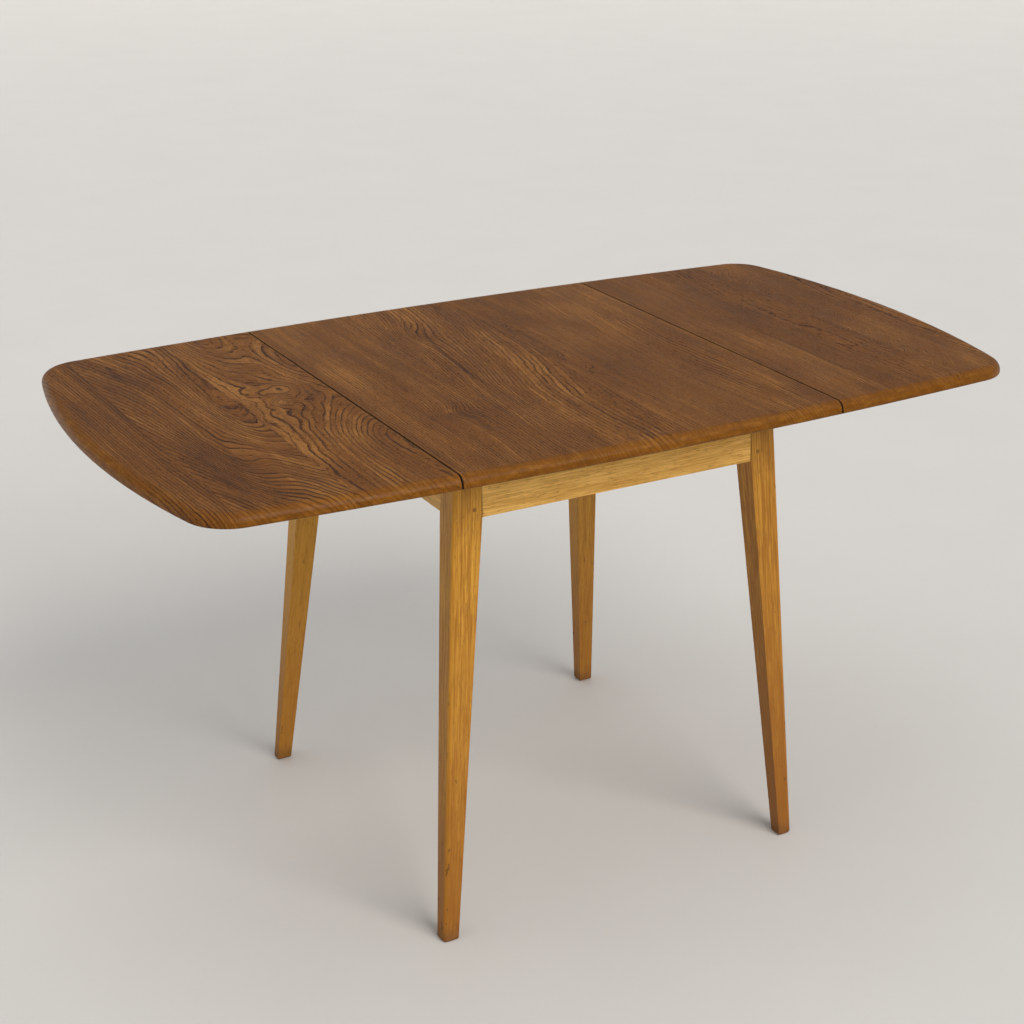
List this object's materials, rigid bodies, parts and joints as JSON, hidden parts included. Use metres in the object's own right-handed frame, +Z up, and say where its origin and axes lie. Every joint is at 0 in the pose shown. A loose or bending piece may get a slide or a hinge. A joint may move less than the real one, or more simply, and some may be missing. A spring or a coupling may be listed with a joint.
{
  "type": "drop-leaf table",
  "caption": "Rectangular drop-leaf dining table with bowed edges and rounded corners, hinged leaves, pull-out leaf supports and splayed tapered legs.",
  "frame": {"origin": "on the floor, midway between the feet and under the middle of the top", "axes": "+X along the open length, through both leaves; +Y across the table, towards the back; +Z up"},
  "size_m": [1.3438, 0.719, 0.72],
  "materials": {
    "elm_top": "oiled and waxed elm, satin, medium brown",
    "beech_leg": "clear satin lacquer over honey-coloured beech",
    "beech_rail": "clear satin lacquer over pale beech",
    "beech_bearer": "waxed beech",
    "beech_block": "bare beech",
    "beech_dowel": "end grain of beech dowel",
    "hinge_steel": "dull zinc-plated steel",
    "pin_steel": "drawn steel wire",
    "screw_steel": "slotted steel wood screws"
  },
  "bodies": {
    "frame": {"corner_brace_back_left": "beech_block", "corner_brace_back_right": "beech_block", "corner_brace_front_left": "beech_block", "corner_brace_front_right": "beech_block", "cross_bearer_left": "beech_bearer", "cross_bearer_right": "beech_bearer", "end_rail_left": "beech_rail", "end_rail_right": "beech_rail", "fixing_block_back_left": "beech_block", "fixing_block_back_right": "beech_block", "fixing_block_front_left": "beech_block", "fixing_block_front_right": "beech_block", "hinge_centre_plate_left_back": "hinge_steel", "hinge_centre_plate_left_front": "hinge_steel", "hinge_centre_plate_left_middle": "hinge_steel", "hinge_centre_plate_right_back": "hinge_steel", "hinge_centre_plate_right_front": "hinge_steel", "hinge_centre_plate_right_middle": "hinge_steel", "hinge_pins_left": "pin_steel", "hinge_pins_right": "pin_steel", "hinge_screws_centre": "screw_steel", "leg_back_left": "beech_leg", "leg_back_right": "beech_leg", "leg_front_left": "beech_leg", "leg_front_right": "beech_leg", "long_rail_back": "beech_rail", "long_rail_front": "beech_rail", "rail_fixing_screws": "screw_steel", "tenon_pegs": "beech_dowel", "top_centre": "elm_top", "top_fixing_screws": "screw_steel"},
    "leaf_left": {"hinge_leaf_plate_left_back": "hinge_steel", "hinge_leaf_plate_left_front": "hinge_steel", "hinge_leaf_plate_left_middle": "hinge_steel", "hinge_screws_leaf_left": "screw_steel", "leaf_left": "elm_top"},
    "leaf_right": {"hinge_leaf_plate_right_back": "hinge_steel", "hinge_leaf_plate_right_front": "hinge_steel", "hinge_leaf_plate_right_middle": "hinge_steel", "hinge_screws_leaf_right": "screw_steel", "leaf_right": "elm_top"},
    "slide_left_a": {"slide_left_a": "beech_bearer", "slide_stop_peg_left_a": "beech_dowel"},
    "slide_left_b": {"slide_left_b": "beech_bearer", "slide_stop_peg_left_b": "beech_dowel"},
    "slide_right_a": {"slide_right_a": "beech_bearer", "slide_stop_peg_right_a": "beech_dowel"},
    "slide_right_b": {"slide_right_b": "beech_bearer", "slide_stop_peg_right_b": "beech_dowel"}
  },
  "joints": [
    {"name": "leaf_left_hinge", "type": "hinge", "parent": "frame", "child": "leaf_left", "pos_m": [-0.299, 0, 0.702], "axis": [0, 1, 0], "range_deg": [-90, 0]},
    {"name": "leaf_right_hinge", "type": "hinge", "parent": "frame", "child": "leaf_right", "pos_m": [0.299, 0, 0.702], "axis": [0, -1, 0], "range_deg": [-90, 0]},
    {"name": "slide_left_a_pull", "type": "slide", "parent": "frame", "child": "slide_left_a", "axis": [-1, 0, 0], "range_m": [0, 0.17]},
    {"name": "slide_left_b_pull", "type": "slide", "parent": "frame", "child": "slide_left_b", "axis": [-1, 0, 0], "range_m": [0, 0.17]},
    {"name": "slide_right_a_pull", "type": "slide", "parent": "frame", "child": "slide_right_a", "axis": [1, 0, 0], "range_m": [0, 0.17]},
    {"name": "slide_right_b_pull", "type": "slide", "parent": "frame", "child": "slide_right_b", "axis": [1, 0, 0], "range_m": [0, 0.17]}
  ]
}
